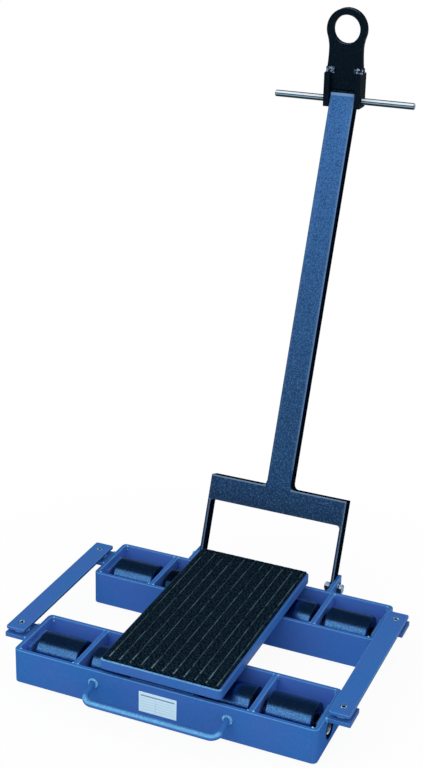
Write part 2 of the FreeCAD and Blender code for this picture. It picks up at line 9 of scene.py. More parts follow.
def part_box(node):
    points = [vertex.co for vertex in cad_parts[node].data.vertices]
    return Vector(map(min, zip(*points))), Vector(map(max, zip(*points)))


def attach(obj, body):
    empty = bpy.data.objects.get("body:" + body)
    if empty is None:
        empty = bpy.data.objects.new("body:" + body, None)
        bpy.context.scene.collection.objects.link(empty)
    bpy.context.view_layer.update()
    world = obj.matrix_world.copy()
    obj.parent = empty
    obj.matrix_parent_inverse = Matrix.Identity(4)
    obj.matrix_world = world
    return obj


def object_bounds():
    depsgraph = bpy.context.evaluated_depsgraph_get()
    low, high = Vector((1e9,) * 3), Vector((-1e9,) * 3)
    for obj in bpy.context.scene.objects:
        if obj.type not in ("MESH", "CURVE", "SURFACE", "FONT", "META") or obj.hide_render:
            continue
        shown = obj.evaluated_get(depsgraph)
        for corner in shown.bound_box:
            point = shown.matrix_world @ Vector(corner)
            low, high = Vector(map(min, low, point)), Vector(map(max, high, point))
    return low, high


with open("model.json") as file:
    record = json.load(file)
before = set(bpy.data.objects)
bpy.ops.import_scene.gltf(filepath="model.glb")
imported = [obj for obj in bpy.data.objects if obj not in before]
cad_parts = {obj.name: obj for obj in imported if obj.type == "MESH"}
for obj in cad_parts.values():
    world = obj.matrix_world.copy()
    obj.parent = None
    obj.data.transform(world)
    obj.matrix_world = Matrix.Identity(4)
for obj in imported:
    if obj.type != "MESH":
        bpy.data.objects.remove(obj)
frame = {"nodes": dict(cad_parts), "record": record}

# Machine skate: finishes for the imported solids, weld beads, studio and camera, all in metres
cad_box = [list(corner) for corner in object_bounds()]
nodes = frame["nodes"]
scene = bpy.context.scene
scene.view_settings.view_transform = "Standard"

CARRIAGES = ("front", "rear")
LEFT_AND_RIGHT = (-1, 1)
SIDEWAYS, BACKWARDS, UPWARDS = (1, 0, 0), (0, 1, 0), (0, 0, 1)
ALLOWANCE = 0.001

# Sockets that share their names with others, by number: colours of Mix, and floats of Random Value
MIX_SHARE, MIX_FIRST, MIX_SECOND, MIX_RESULT = 0, 6, 7, 2
RANDOM_LOW, RANDOM_HIGH, RANDOM_RESULT = 2, 3, 1


# Shader sockets as values
class Value:
    """A socket of a node tree that takes part in Python arithmetic."""

    def __init__(self, tree, socket):
        self.tree, self.socket = tree, socket

    def maths(self, operation, *terms, clamp=False):
        settings = {"operation": operation, "use_clamp": clamp}
        return self.tree.node("ShaderNodeMath", settings, dict(enumerate(terms)))

    def __add__(self, other):
        return self.maths("ADD", self, other)

    def __sub__(self, other):
        return self.maths("SUBTRACT", self, other)

    def __rsub__(self, other):
        return self.maths("SUBTRACT", other, self)

    def __mul__(self, other):
        return self.maths("MULTIPLY", self, other)

    def __lt__(self, other):
        return self.maths("LESS_THAN", self, other)

    def __gt__(self, other):
        return self.maths("GREATER_THAN", self, other)

    def __abs__(self):
        return self.maths("ABSOLUTE", self)

    __radd__, __rmul__ = __add__, __mul__

    def clamped(self):
        return self.maths("ADD", self, 0.0, clamp=True)

    def between(self, low, high):
        """0 below low, 1 above high, smooth on the way."""
        return self.tree.node("ShaderNodeMapRange", {"interpolation_type": "SMOOTHSTEP"},
                              {"Value": self, "From Min": low, "From Max": high})

    def inside(self, low, high):
        """1 from low to high, 0 elsewhere."""
        return (self > low) * (self < high)

    def larger(self, other):
        return self.maths("MAXIMUM", self, other)

    def remainder(self, step):
        return self.maths("FLOORED_MODULO", self, step)


class Tree:
    """Adds nodes to a material or to the world, one at a time."""

    def __init__(self, owner):
        owner.use_nodes = True
        self.owner, self.nodes, self.links = owner, owner.node_tree.nodes, owner.node_tree.links
        self.nodes.clear()

    def node(self, kind, settings=None, inputs=None, output=0):
        made = self.nodes.new(kind)
        for key, value in (settings or {}).items():
            setattr(made, key, value)
        for key, value in (inputs or {}).items():
            if isinstance(value, Value):
                self.links.new(value.socket, made.inputs[key])
            else:
                made.inputs[key].default_value = value
        return Value(self, made.outputs[output]) if made.outputs else None

    def point(self):
        return self.node("ShaderNodeTexCoord", output="Object")

    def along(self, axis):
        """One coordinate of the point on the piece, in metres."""
        return self.node("ShaderNodeSeparateXYZ", {}, {0: self.point()}, axis)

    def leaning(self, direction):
        """How far the surface faces a direction of the piece's own frame: 1 squarely, -1 squarely away."""
        return self.dot(self.node("ShaderNodeTexCoord", output="Normal"), direction)

    def rounded_rim(self):
        """1 on rounded edges that lean upwards, 0 on level and upright faces."""
        lift = self.leaning(UPWARDS)
        return lift.between(0.20, 0.45) * (1 - lift.between(0.92, 0.99))

    def ray(self, kind):
        return self.node("ShaderNodeLightPath", output=f"Is {kind} Ray")

    def noise(self, size, detail=2.0, stretch=(1, 1, 1)):
        """Soft random values from 0 to 1 with features of about the given size in metres."""
        scale = [factor / size for factor in stretch]
        place = self.node("ShaderNodeMapping", {}, {"Vector": self.point(), "Scale": scale})
        return self.node("ShaderNodeTexNoise", {}, {"Vector": place, "Scale": 1.0, "Detail": detail})

    def mix(self, share, first, second):
        """The first colour where share is 0, the second where it is 1."""
        inputs = {MIX_SHARE: share, MIX_FIRST: first, MIX_SECOND: second}
        return self.node("ShaderNodeMix", {"data_type": "RGBA"}, inputs, MIX_RESULT)

    def bump(self, height, depth, strength, normal=None):
        inputs = {"Height": height, "Distance": depth, "Strength": strength}
        if normal is not None:
            inputs["Normal"] = normal
        return self.node("ShaderNodeBump", {}, inputs)

    def eased_edges(self, radius):
        return self.node("ShaderNodeBevel", {"samples": 4}, {"Radius": radius})

    def dot(self, first, second):
        return self.node("ShaderNodeVectorMath", {"operation": "DOT_PRODUCT"}, {0: first, 1: second}, "Value")

    def edge(self, radius, towards, facing=(0.30, 0.70), bend=(0.03, 0.20)):
        """1 on sharp edges that are turned to a direction of the piece's own frame, 0 on flat faces.

        Facing and bend are the ranges over which an edge comes in.
        """
        rounded = self.eased_edges(radius)
        flat = self.node("ShaderNodeNewGeometry", output="True Normal")
        settings = {"vector_type": "NORMAL", "convert_from": "WORLD", "convert_to": "OBJECT"}
        own = self.node("ShaderNodeVectorTransform", settings, {0: rounded})
        return (1 - self.dot(rounded, flat)).between(*bend) * self.dot(own, towards).between(*facing)

    def surface(self, look):
        self.node("ShaderNodeOutputMaterial", {}, {"Surface": look})
        return self.owner


SHADER_SOCKETS = {"colour": "Base Color", "roughness": "Roughness", "metallic": "Metallic",
                  "normal": "Normal", "specular": "Specular IOR Level"}


def finish(name):
    """The empty node tree of a new material."""
    return Tree(bpy.data.materials.new(name))


def shader(tree, **sockets):
    inputs = {SHADER_SOCKETS[key]: value for key, value in sockets.items()}
    return tree.node("ShaderNodeBsdfPrincipled", {}, inputs)


def painted(tree, **sockets):
    """The tree's material, with one shader all over it."""
    return tree.surface(shader(tree, **sockets))


def srgb(red, green, blue):
    """A colour from 0 to 255 per channel, as a linear shader colour."""
    def linear(value):
        value /= 255
        return value / 12.92 if value <= 0.04045 else ((value + 0.055) / 1.055) ** 2.4
    return (linear(red), linear(green), linear(blue), 1.0)


def middle(node):
    low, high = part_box(node)
    return (low + high) / 2


# Places of the tow bar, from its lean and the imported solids
BAR_LEAN = math.radians(20.0)
BAR_AXIS = Vector((0.0, math.sin(BAR_LEAN), math.cos(BAR_LEAN)))
BAR_FRONT = Vector((0.0, -math.cos(BAR_LEAN), math.sin(BAR_LEAN)))
BAR_CORNER = Vector((1, BAR_FRONT.y, BAR_FRONT.z)).normalized()
ROD_TO_BAR_TOP, PIVOT_TO_YOKE_TOP = 0.0105, 0.184
EAR_WASHER, BOLT_GRIP, BOLT_JOINT = 0.0025, 0.0195, 0.0008
CROWN_HEIGHT, BESIDE_BAR, UNDER_BAR_HALF, UNDER_BAR_TOP = 0.006, 0.028, 0.037, 0.15
rod = middle("cross_rod")
bar_top = rod.dot(BAR_AXIS) + ROD_TO_BAR_TOP
yoke_top = middle("pivot_bolts").dot(BAR_AXIS) + PIVOT_TO_YOKE_TOP
head_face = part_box("tow_ears")[1].x + EAR_WASHER
nut_face = head_face - BOLT_GRIP

# Places of the carriages, the carry handle and the screws of the tie bars
WALL = 0.008
AXLE_HOLE, HOLE_FADE = 0.018, 0.006
NUT_REACH, NUT_FADE = 0.0137, 0.0008
SCREW_SOCKET, SOCKET_FADE = 0.0034, 0.0006
SCREW_RIM, RIM_FADE = 0.0054, 0.0004
axle = middle("rear_axles")
tie_screw_x = middle("tie_bar_right").x
handle_low, handle_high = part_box("carry_handle")
box_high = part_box("rear_frame_ends")[1]

# Places of the load plate and its mat
GROOVE_COUNT, GROOVE_PITCH, GROOVE_SHIFT, GROOVE_WIDTH, GROOVE_FLOOR = 11, 0.0214, 0.002, 0.003, -0.0012
PLUG_LENGTH, PLUG_HEIGHT, PLUG_TOP = 0.006, 0.0018, -0.0003
MAT_MARGIN, DECK_EDGE = 0.004, 0.0016
mat_low, mat_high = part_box("ribbed_mat")
plate_low, plate_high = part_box("load_plate")


# Blue paint
def blue_enamel(name, touches=(), rims=None, gloss=0.04):
    """Blue paint, with a painted highlight on rounded rims and on edges that face up and forward.

    Touches change its colour in places. Rims, where given, says which of the rims get the painted highlight.
    """
    violet, blue = srgb(60, 104, 176), srgb(50, 107, 177)
    light, pale = srgb(72, 124, 196), srgb(108, 176, 228)
    tree = finish(name)
    cloud, mottle, grain = tree.noise(0.12, 3), tree.noise(0.0045), tree.noise(0.0018)
    colour = tree.mix(cloud.between(0.35, 0.65), violet, blue)
    colour = tree.mix(mottle.between(0.45, 0.75) * 0.25, colour, light)
    # Painted highlight: rounded rims that lean up, and sharp edges that face up and forward, turn pale.
    rim_highlight = tree.rounded_rim().larger(tree.edge(radius=0.0030, towards=(0, -0.3, 0.95)))
    if rims:
        rim_highlight = rim_highlight * rims(tree)
    colour = tree.mix(rim_highlight * (0.35 + 0.5 * mottle), colour, pale)
    for touch in touches:
        colour = touch(tree, colour)
    normal = tree.bump(grain, depth=0.00012, strength=0.4, normal=tree.eased_edges(0.0014))
    return painted(tree, colour=colour, roughness=0.30 + 0.16 * mottle, normal=normal, specular=gloss)


def handle_run(tree):
    """1 on the carry handle's long run, 0 on its arms."""
    return 1 - (tree.along("Y") - handle_low.y).between(0.010, 0.020)


def handle_highlight(tree, colour):
    """Painted highlight, broken into flecks, on top of the carry handle's long run."""
    wear_and_highlight = srgb(118, 198, 236)
    fleck = 0.35 + 0.65 * tree.noise(0.0040).between(0.42, 0.60)
    # Painted highlight on the upper side of the run.
    upper = tree.leaning((0, -0.5, 0.87)).between(0.70, 1.0)
    return tree.mix(handle_run(tree) * upper * fleck * 0.65, colour, wear_and_highlight)


def front_edge(tree):
    """1 along the front edge of the load plate, 0 behind it."""
    return 1 - (tree.along("Y") - plate_low.y).between(0.003, 0.009)


def front_highlight_and_shade(tree, colour):
    """Painted highlight on the load plate's top front edge, flecked at its left corner, and painted shade on
    the plate's top left of the mat.
    """
    wear_and_highlight, painted_shade = srgb(124, 186, 224), srgb(10, 26, 44)
    across, height = tree.along("X"), tree.along("Z")
    left = 1 - across.between(-0.10, 0.03) * 0.7
    fleck = 0.25 + 0.65 * tree.noise(0.0040).between(0.44, 0.58) * (0.4 + 0.6 * left)
    # Painted highlight along the top front edge.
    upper = height > plate_high.z - DECK_EDGE
    colour = tree.mix(upper * front_edge(tree) * fleck, colour, wear_and_highlight)
    # Painted shade on the plate's top left of the mat.
    beside_mat = (across < mat_low.x + ALLOWANCE) * tree.leaning(UPWARDS).between(0.1, 0.4)
    return tree.mix(beside_mat * (1 - front_edge(tree)) * 0.8, colour, painted_shade)


def lit_inside(tree, colour):
    """Painted light on upright faces inside the boxes and between them, lighter than the paint outside."""
    inside_light = srgb(84, 130, 222)
    half = box_high.y - axle.y
    away = abs(tree.along("Y"))
    inside = (abs(away - axle.y) < half - WALL / 2) * (abs(tree.along("X")) < box_high.x - WALL / 2)
    between = away < axle.y - half + ALLOWANCE
    upright = 1 - tree.leaning(UPWARDS).between(0.1, 0.4)
    return tree.mix((inside * 0.82 + between * 0.20) * upright, colour, inside_light)


def shaded_sides(tree, colour):
    """Painted shade on the side faces of the tie bars and lugs."""
    side_shade = srgb(22, 48, 98)
    return tree.mix(abs(tree.leaning(SIDEWAYS)).between(0.6, 0.9) * 0.5, colour, side_shade)


def from_axle(tree):
    """The squared distance from the line of the axles."""
    along, above = abs(tree.along("Y")) - axle.y, tree.along("Z") - axle.z
    return along * along + above * above


def shaded_holes(tree, colour):
    """Painted shade in the holes of the end walls, round the axle nuts."""
    darkening = srgb(5, 12, 26)
    outside_hole = from_axle(tree).between(AXLE_HOLE ** 2, (AXLE_HOLE + HOLE_FADE) ** 2)
    return tree.mix(1 - outside_hole, colour, darkening)


def shaded_outside(tree, colour):
    """Painted shade, mottled, on the outer faces of the axle pads, which show in the holes of the end walls.
    """
    pad_shade = tree.mix(tree.noise(0.006, 3), srgb(5, 12, 26), srgb(16, 30, 54))
    outside = (tree.leaning(SIDEWAYS) * tree.along("X")).between(0.10, 0.20)
    return tree.mix(outside, colour, pad_shade)


# Paint of the tow bar and the towing eye
def navy_enamel():
    """Tow bar: fine-grained paint whose blue in front and behind is a painted reflection that lightens
    towards the top, with painted highlights on its top and edges; it darkens towards the yoke's legs.

    Its sides are almost black.
    """
    tree = finish("navy_enamel")
    across, height, place = abs(tree.along("X")), tree.along("Z"), tree.dot(tree.point(), BAR_AXIS)
    rise = place - yoke_top
    grain, streak = tree.noise(0.0026), tree.noise(0.012, 3, (1, 0.04, 0.04))
    dark_grain, pale_grain = grain.between(0.48, 0.66), (0.50 - grain).between(0.0, 0.16)
    streaked = streak.between(0.52, 0.80) * height.between(0.2, 0.9)
    yoke, legs, crown = rise < 0, 1 - height.between(0.03, 0.10), place > bar_top - CROWN_HEIGHT
    # Painted reflection: the front blue lightens towards the top and darkens on the yoke.
    front = tree.mix(height.between(0.10, 1.10), srgb(26, 68, 110), srgb(57, 111, 175))
    front = tree.mix(yoke * 0.42, front, srgb(6, 38, 70))
    front = tree.mix(dark_grain * 0.60, front, srgb(14, 42, 74))
    front = tree.mix(pale_grain * 0.40, front, srgb(84, 132, 176))
    front = tree.mix(streaked * 0.30, front, srgb(84, 138, 198))
    front = tree.mix(legs * 0.6, front, srgb(8, 24, 46))
    # Painted highlight in a band at the top of the bar.
    front = tree.mix(crown * 0.75, front, srgb(116, 160, 206))
    square = abs(tree.leaning(BAR_FRONT)).between(0.55, 0.85)
    colour = tree.mix(square, srgb(3, 11, 22), front)
    # Painted highlight on the bar's front corner.
    corner = tree.leaning(BAR_CORNER).between(0.90, 0.99) * height.between(0.10, 0.30)
    colour = tree.mix(corner * 0.7, colour, srgb(92, 142, 194))
    # Painted highlight lines on the yoke's rim and on edges that face up, front and right.
    yoke_rim = rise.between(-0.0036, -0.0024) * (rise < ALLOWANCE) * (across > BESIDE_BAR)
    edge_highlight = tree.edge(radius=0.0065, towards=(0.55, -0.45, 0.70), facing=(0.30, 0.60), bend=(0.012, 0.07))
    under_bar = (across < UNDER_BAR_HALF) * (height < UNDER_BAR_TOP)
    line = yoke_rim.larger(edge_highlight * (1 - under_bar))
    colour = tree.mix(line * square * 0.75, colour, srgb(122, 148, 178))
    normal = tree.bump(grain, depth=0.00020, strength=0.4)
    face = shader(tree, colour=colour, roughness=0.46 + 0.14 * grain, normal=normal, specular=0.10)
    flank = shader(tree, colour=colour, roughness=0.60 + 0.14 * grain, normal=normal, specular=0.0)
    return tree.surface(tree.node("ShaderNodeMixShader", {}, {0: square, 1: flank, 2: face}))


def black_enamel():
    """Towing eye: black paint with a fine grain and a painted highlight on its upper front edges."""
    tree = finish("black_enamel")
    grain = tree.noise(0.0026)
    colour = tree.mix(grain.between(0.40, 0.75), srgb(5, 17, 26), srgb(14, 30, 42))
    # Painted highlight on the upper front edges.
    wear_and_highlight = tree.edge(radius=0.0022, towards=(0, -0.7, 0.7), facing=(0.8, 0.95))
    colour = tree.mix(wear_and_highlight * 0.7, colour, srgb(150, 172, 196))
    normal = tree.bump(grain, depth=0.0002, strength=0.4)
    return painted(tree, colour=colour, roughness=0.50 + 0.14 * grain, normal=normal, specular=0.02)


# Rubber, steel, zinc and bronze
def ribbed_rubber():
    """Black rubber with a faint bloom, and dust in the grooves that is palest at their front ends."""
    tree = finish("ribbed_rubber")
    across, along, height = abs(tree.along("X")), tree.along("Y"), tree.along("Z")
    grain, patch = tree.noise(0.0034, 3), tree.noise(0.05, 3, (2.4, 0.5, 1))
    rubber = tree.mix(grain.between(0.44, 0.68), srgb(1, 10, 17), srgb(31, 57, 75))
    front_end = 1 - (along - mat_low.y).between(0.012, 0.060)
    broken = tree.noise(0.005, 2, (1, 0.3, 1)).between(0.22, 0.62)
    thin_dust = (patch.between(0.30, 0.65) * 0.40 + 0.20) * broken
    dust = thin_dust + front_end * tree.noise(0.012).between(0.38, 0.56) * 0.8
    inside = (across < mat_high.x - MAT_MARGIN) * (along > mat_low.y + PLUG_LENGTH)
    groove = (height < GROOVE_FLOOR).larger((height < PLUG_TOP) * front_end)
    colour = tree.mix(groove * inside * dust.clamped(), rubber, srgb(122, 156, 170))
    normal = tree.bump(grain, depth=0.0005, strength=0.6)
    return painted(tree, colour=colour, roughness=0.62 + 0.2 * grain, normal=normal, specular=0.02)


def blackened_steel(name, lit_share=1.0):
    """Rollers: blue-black turned steel with fine rings round the axle and a mill grain.

    A share below 1 makes a darker copy, painted shade for a roller under the load plate.
    """
    tree = finish(name)
    rings, grain = tree.noise(0.0009, 2, (1, 0.02, 0.02)), tree.noise(0.0023)
    dark, light = [(red * lit_share, green * lit_share, blue * lit_share, 1)
                   for red, green, blue in ((0.038, 0.125, 0.300), (0.087, 0.244, 0.540))]
    colour = tree.mix(grain.between(0.38, 0.62), dark, light)
    end = abs(tree.leaning(SIDEWAYS)).between(0.7, 0.95)
    colour = tree.mix(end * 0.9, colour, (0.003, 0.006, 0.012, 1))
    normal = tree.bump(rings * 0.3 + grain, depth=0.00014, strength=0.6)
    return painted(tree, colour=colour, metallic=1.0, roughness=0.16 + 0.12 * grain, normal=normal)


def zinc(tree, darkened, metallic, dim, bright=srgb(232, 246, 252), patch=0.006):
    """Bright plating with dim patches, dark where the given share is 1: oil in joints, and painted shade
    where the callers give it.
    """
    darkening = srgb(4, 18, 52)
    spangle = tree.noise(patch, 3)
    colour = tree.mix(spangle.between(0.42, 0.62), dim, bright)
    colour = tree.mix(darkened, colour, darkening)
    normal = tree.bump(tree.noise(0.0012), depth=0.00006, strength=0.4, normal=tree.eased_edges(0.0006))
    return painted(tree, colour=colour, metallic=(1 - darkened) * metallic, roughness=0.18 + 0.14 * spangle,
                   normal=normal, specular=0.0)


def bright_zinc():
    """Bolts and nuts with painted shade on the flats that do not face up and forward, and oil in the joints
    at their washers.
    """
    tree = finish("bright_zinc")
    away = abs(tree.along("X"))
    joint = (abs(away - head_face) < BOLT_JOINT).larger(abs(away - nut_face) < BOLT_JOINT)
    end = abs(tree.leaning(SIDEWAYS)).between(0.6, 0.9)
    shaded = (1 - tree.leaning((0, -0.35, 0.94)).between(0.72, 0.90)) * (0.95 - 0.5 * end)
    return zinc(tree, shaded.larger(joint * 0.95), metallic=0.1, dim=srgb(150, 194, 228))


def screw_zinc():
    """Countersunk screws: blue paint on the head with painted glints in patches, painted shade in the socket
    and a painted shadow in the ring round the head.
    """
    tree = finish("screw_zinc")
    across, along = abs(tree.along("X")) - tie_screw_x, abs(tree.along("Y")) - axle.y
    off = across * across + along * along
    # Painted shade in the socket, and a painted shadow in the ring where the head meets its countersink.
    socket = 1 - off.between((SCREW_SOCKET - SOCKET_FADE) ** 2, (SCREW_SOCKET + SOCKET_FADE) ** 2)
    joint = off.between((SCREW_RIM - RIM_FADE) ** 2, (SCREW_RIM + RIM_FADE) ** 2)
    return zinc(tree, socket.larger(joint * 0.6), metallic=0.1, dim=srgb(46, 96, 168),
                bright=srgb(184, 238, 255), patch=0.0032)


def axle_zinc():
    """Nuts on the axle ends, with a painted shadow of the hole over their upper part, and dark on their
    washers.
    """
    tree = finish("axle_zinc")
    washer = from_axle(tree).between((NUT_REACH - NUT_FADE) ** 2, NUT_REACH ** 2)
    # Painted shadow of the hole over the upper part of the nut, with a ragged edge.
    ragged = tree.along("Z") - axle.z + 0.012 * tree.noise(0.008)
    upper = ragged.between(-0.004, 0.003) * 0.95
    return zinc(tree, washer.larger(upper), metallic=0.6, dim=srgb(150, 190, 210))


def drawn_zinc():
    """Cross rod: drawn bar with fine lines along it, with painted reflection and shade by the way its surface
    faces: dark near the top, grey on the lower half, a dark stripe along its front, and darkest underneath
    and at its ends.
    """
    tree = finish("drawn_zinc")
    drawn = tree.noise(0.0012, 2, (0.05, 1, 1))
    lift = tree.leaning(UPWARDS)
    # Painted reflection and shade: dark near the top, grey on the lower half, a dark stripe along the front,
    # darkest underneath and at the ends.
    crown, below = lift.between(0.80, 0.90), 1 - lift.between(-0.02, 0.16)
    front_line = 1 - abs(lift - 0.20).between(0.10, 0.19)
    end = abs(tree.leaning(SIDEWAYS)).between(0.5, 0.8)
    painted_shade = (1 - lift.between(-0.32, -0.15)).larger(end * 0.6)
    colour = tree.mix(drawn.between(0.35, 0.7), srgb(222, 238, 246), srgb(244, 252, 255))
    colour = tree.mix(crown * 0.6, colour, srgb(90, 110, 124))
    colour = tree.mix(below, colour, srgb(130, 162, 178))
    colour = tree.mix(front_line, colour, srgb(20, 50, 68))
    colour = tree.mix(painted_shade, colour, srgb(8, 34, 48))
    normal = tree.bump(drawn, depth=0.00005, strength=0.4)
    return painted(tree, colour=colour, metallic=crown, roughness=0.14 + 0.10 * drawn, normal=normal,
                   specular=0.1)


def oiled_steel():
    """Turned steel, with dark ends that carry a few bright specks."""
    tree = finish("oiled_steel")
    turned = tree.noise(0.0010, 2, (1, 0.05, 0.05))
    colour = tree.mix(turned.between(0.35, 0.7), srgb(70, 76, 84), srgb(118, 126, 134))
    darkening = tree.mix(tree.noise(0.0050).between(0.54, 0.60), srgb(12, 28, 48), srgb(170, 206, 226))
    end = abs(tree.leaning(SIDEWAYS)).between(0.7, 0.95)
    colour = tree.mix(end, colour, darkening)
    return painted(tree, colour=colour, metallic=1 - end, roughness=0.26 + 0.16 * turned, specular=0.0)


def bearing_bronze():
    """Bushes and thrust washers: dark bronze with paler patches."""
    tree = finish("bearing_bronze")
    wear_and_highlight = tree.noise(0.004, 3)
    colour = tree.mix(wear_and_highlight.between(0.35, 0.7), srgb(22, 22, 22), srgb(44, 40, 32))
    return painted(tree, colour=colour, metallic=1.0, roughness=0.34 + 0.2 * wear_and_highlight)


# Film of the label
def ruled_label():
    """Blank film with one thick rule at the head and thin rules for five empty rows."""
    first_row, row_step, rule_width = 0.30, 0.13, 0.030
    tree = finish("ruled_label")
    low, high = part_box("rating_plate")
    across = (tree.along("X") - low.x) * (1 / (high.x - low.x))
    down = (high.z - tree.along("Z")) * (1 / (high.z - low.z))
    inset = across.inside(0.05, 0.95)
    row = (down - first_row).remainder(row_step)
    rules = (row < rule_width) * down.inside(0.29, 0.97) * inset * 0.24
    head = down.inside(0.13, 0.20) * inset * 0.70
    split = across.inside(0.44, 0.455) * down.inside(0.29, 0.96) * 0.24
    ink = rules.larger(head).larger(split)
    film = tree.mix(tree.noise(0.004), srgb(204, 238, 252), srgb(218, 246, 255))
    colour = tree.mix(ink, film, srgb(40, 76, 112))
    return painted(tree, colour=colour, roughness=0.34 + 0.1 * tree.noise(0.003), specular=0.05)


# Paint and bare metal of the welds
def weld_paint():
    """Paint that lies thick and shiny over a weld, with a painted highlight on its crests."""
    tree = finish("weld_paint")
    mottle = tree.noise(0.0045)
    crest_highlight = tree.leaning((0.2, -0.5, 0.85)).between(0.1, 0.9) * (0.4 + 0.6 * mottle.between(0.40, 0.60))
    colour = tree.mix(crest_highlight, srgb(56, 112, 188), srgb(140, 214, 240))
    normal = tree.bump(mottle, depth=0.0003, strength=0.5)
    return painted(tree, colour=colour, roughness=0.14 + 0.12 * mottle, normal=normal, specular=0.12)


def bare_weld():
    """Unpainted weld with dark scale and bright patches."""
    tree = finish("bare_weld")
    scale = tree.noise(0.0060, 3)
    colour = tree.mix(scale.between(0.45, 0.62), srgb(10, 24, 42), srgb(150, 176, 206))
    normal = tree.bump(scale, depth=0.0004, strength=0.6)
    return painted(tree, colour=colour, metallic=0.5, roughness=0.30 + 0.2 * scale, normal=normal)


# A finish for each slot of the record, and for single nodes where theirs differs
slot_finish = {
    "blue_paint": blue_enamel("blue_enamel"),
    "dark_paint": navy_enamel(),
    "eye_paint": black_enamel(),
    "mat_rubber": ribbed_rubber(),
    "roller_steel": blackened_steel("blackened_steel"),
    "zinc_plate": bright_zinc(),
    "plain_steel": oiled_steel(),
    "bronze": bearing_bronze(),
    "blank_label": ruled_label(),
}
bar_enamel = blue_enamel("bar_enamel", [shaded_sides])
own_finish = {
    "carry_handle": blue_enamel("grip_enamel", [handle_highlight], handle_run),
    "cross_rod": drawn_zinc(),
    "load_plate": blue_enamel("deck_enamel", [front_highlight_and_shade], front_edge),
    "tie_bar_left": bar_enamel,
    "tie_bar_right": bar_enamel,
    # A darker copy of the roller steel: painted shade for the roller under the load plate.
    "rear_roller_2": blackened_steel("shaded_steel", lit_share=0.25),
}
box_enamel = blue_enamel("box_enamel", [lit_inside, shaded_holes], gloss=0.0)
carriage_finish = {
    "tie_lugs": bar_enamel,
    "axle_pads": blue_enamel("pad_enamel", [lit_inside, shaded_outside]),
    "tie_fasteners": screw_zinc(),
    "axle_fasteners": axle_zinc(),
    "frame_sides": box_enamel,
    "frame_ends": box_enamel,
    "dividers": box_enamel,
}
for side in CARRIAGES:
    own_finish.update({f"{side}_{piece}": paint for piece, paint in carriage_finish.items()})
for subpart in frame["record"]["subparts"]:
    mesh = nodes[subpart["node"]].data
    mesh.materials.clear()
    mesh.materials.append(own_finish.get(subpart["node"], slot_finish[subpart["material_slot"]]))


# Pieces grown by Geometry Nodes
def added(tree, kind, settings=None, links=None):
    """The outputs of a new node of a geometry tree."""
    made = tree.nodes.new(kind)
    for key, value in (settings or {}).items():
        setattr(made, key, value)
    for key, value in (links or {}).items():
        if isinstance(value, bpy.types.NodeSocket):
            tree.links.new(value, made.inputs[key])
        else:
            made.inputs[key].default_value = value
    return made.outputs


def geometry_tree(name, inputs, output):
    """A new geometry tree with named inputs, and the outputs of the node that gives them."""
    tree = bpy.data.node_groups.new(name, "GeometryNodeTree")
    for label, kind in inputs.items():
        tree.interface.new_socket(label, in_out="INPUT", socket_type=f"NodeSocket{kind}")
    tree.interface.new_socket(output, in_out="OUTPUT", socket_type="NodeSocketGeometry")
    return tree, added(tree, "NodeGroupInput")


def grown(name, body, start, tree, inputs):
    """A plain mesh that a geometry tree makes from a starting mesh, riding on a body."""
    piece = bpy.data.objects.new(name, start)
    scene.collection.objects.link(piece)
    modifier = piece.modifiers.new("grow", "NODES")
    modifier.node_group = tree
    sockets = {item.name: item.identifier for item in tree.interface.items_tree if item.in_out == "INPUT"}
    for label, value in inputs.items():
        modifier[sockets[label]] = value
    bpy.context.view_layer.update()
    evaluated = piece.evaluated_get(bpy.context.evaluated_depsgraph_get())
    piece.data = bpy.data.meshes.new_from_object(evaluated)
    piece.modifiers.clear()
    bpy.data.meshes.remove(start)
    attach(piece, body)


# Weld beads: rippled blobs that follow a seam
BLOB_SEGMENTS, BLOB_RINGS = 8, 6
SWELL_LOW, SWELL_HIGH, SWELL_SEED = 0.82, 1.18, 4


def weld_tree():
    """Blobs of slightly different widths along each seam, a ripple apart."""
    inputs = {"Seam": "Geometry", "Ripple": "Float", "Bead radius": "Float", "Finish": "Material"}
    tree, given = geometry_tree("weld_bead", inputs, "Bead")
    seam = added(tree, "GeometryNodeMeshToCurve", {}, {"Mesh": given["Seam"]})[0]
    points = added(tree, "GeometryNodeResampleCurve", {"mode": "LENGTH"},
                   {"Curve": seam, "Length": given["Ripple"]})[0]
    blob = added(tree, "GeometryNodeMeshUVSphere", {},
                 {"Segments": BLOB_SEGMENTS, "Rings": BLOB_RINGS, "Radius": 1.0})[0]
    swell = added(tree, "FunctionNodeRandomValue", {"data_type": "FLOAT"},
                  {RANDOM_LOW: SWELL_LOW, RANDOM_HIGH: SWELL_HIGH, "Seed": SWELL_SEED})[RANDOM_RESULT]
    width = added(tree, "ShaderNodeMath", {"operation": "MULTIPLY"}, {0: swell, 1: given["Bead radius"]})[0]
    size = added(tree, "ShaderNodeCombineXYZ", {}, {"X": width, "Y": width, "Z": given["Ripple"]})[0]
    tangent = added(tree, "GeometryNodeInputTangent")[0]
    turn = added(tree, "FunctionNodeAlignRotationToVector", {"axis": "Z"}, {"Vector": tangent})[0]
    beads = added(tree, "GeometryNodeInstanceOnPoints", {},
                  {"Points": points, "Instance": blob, "Rotation": turn, "Scale": size})[0]
    solid = added(tree, "GeometryNodeRealizeInstances", {}, {"Geometry": beads})[0]
    smooth = added(tree, "GeometryNodeSetShadeSmooth", {}, {"Geometry": solid})[0]
    coated = added(tree, "GeometryNodeSetMaterial", {}, {"Geometry": smooth, "Material": given["Finish"]})[0]
    added(tree, "NodeGroupOutput", {}, {"Bead": coated})
    return tree


weld_bead = weld_tree()
painted_weld = weld_paint()


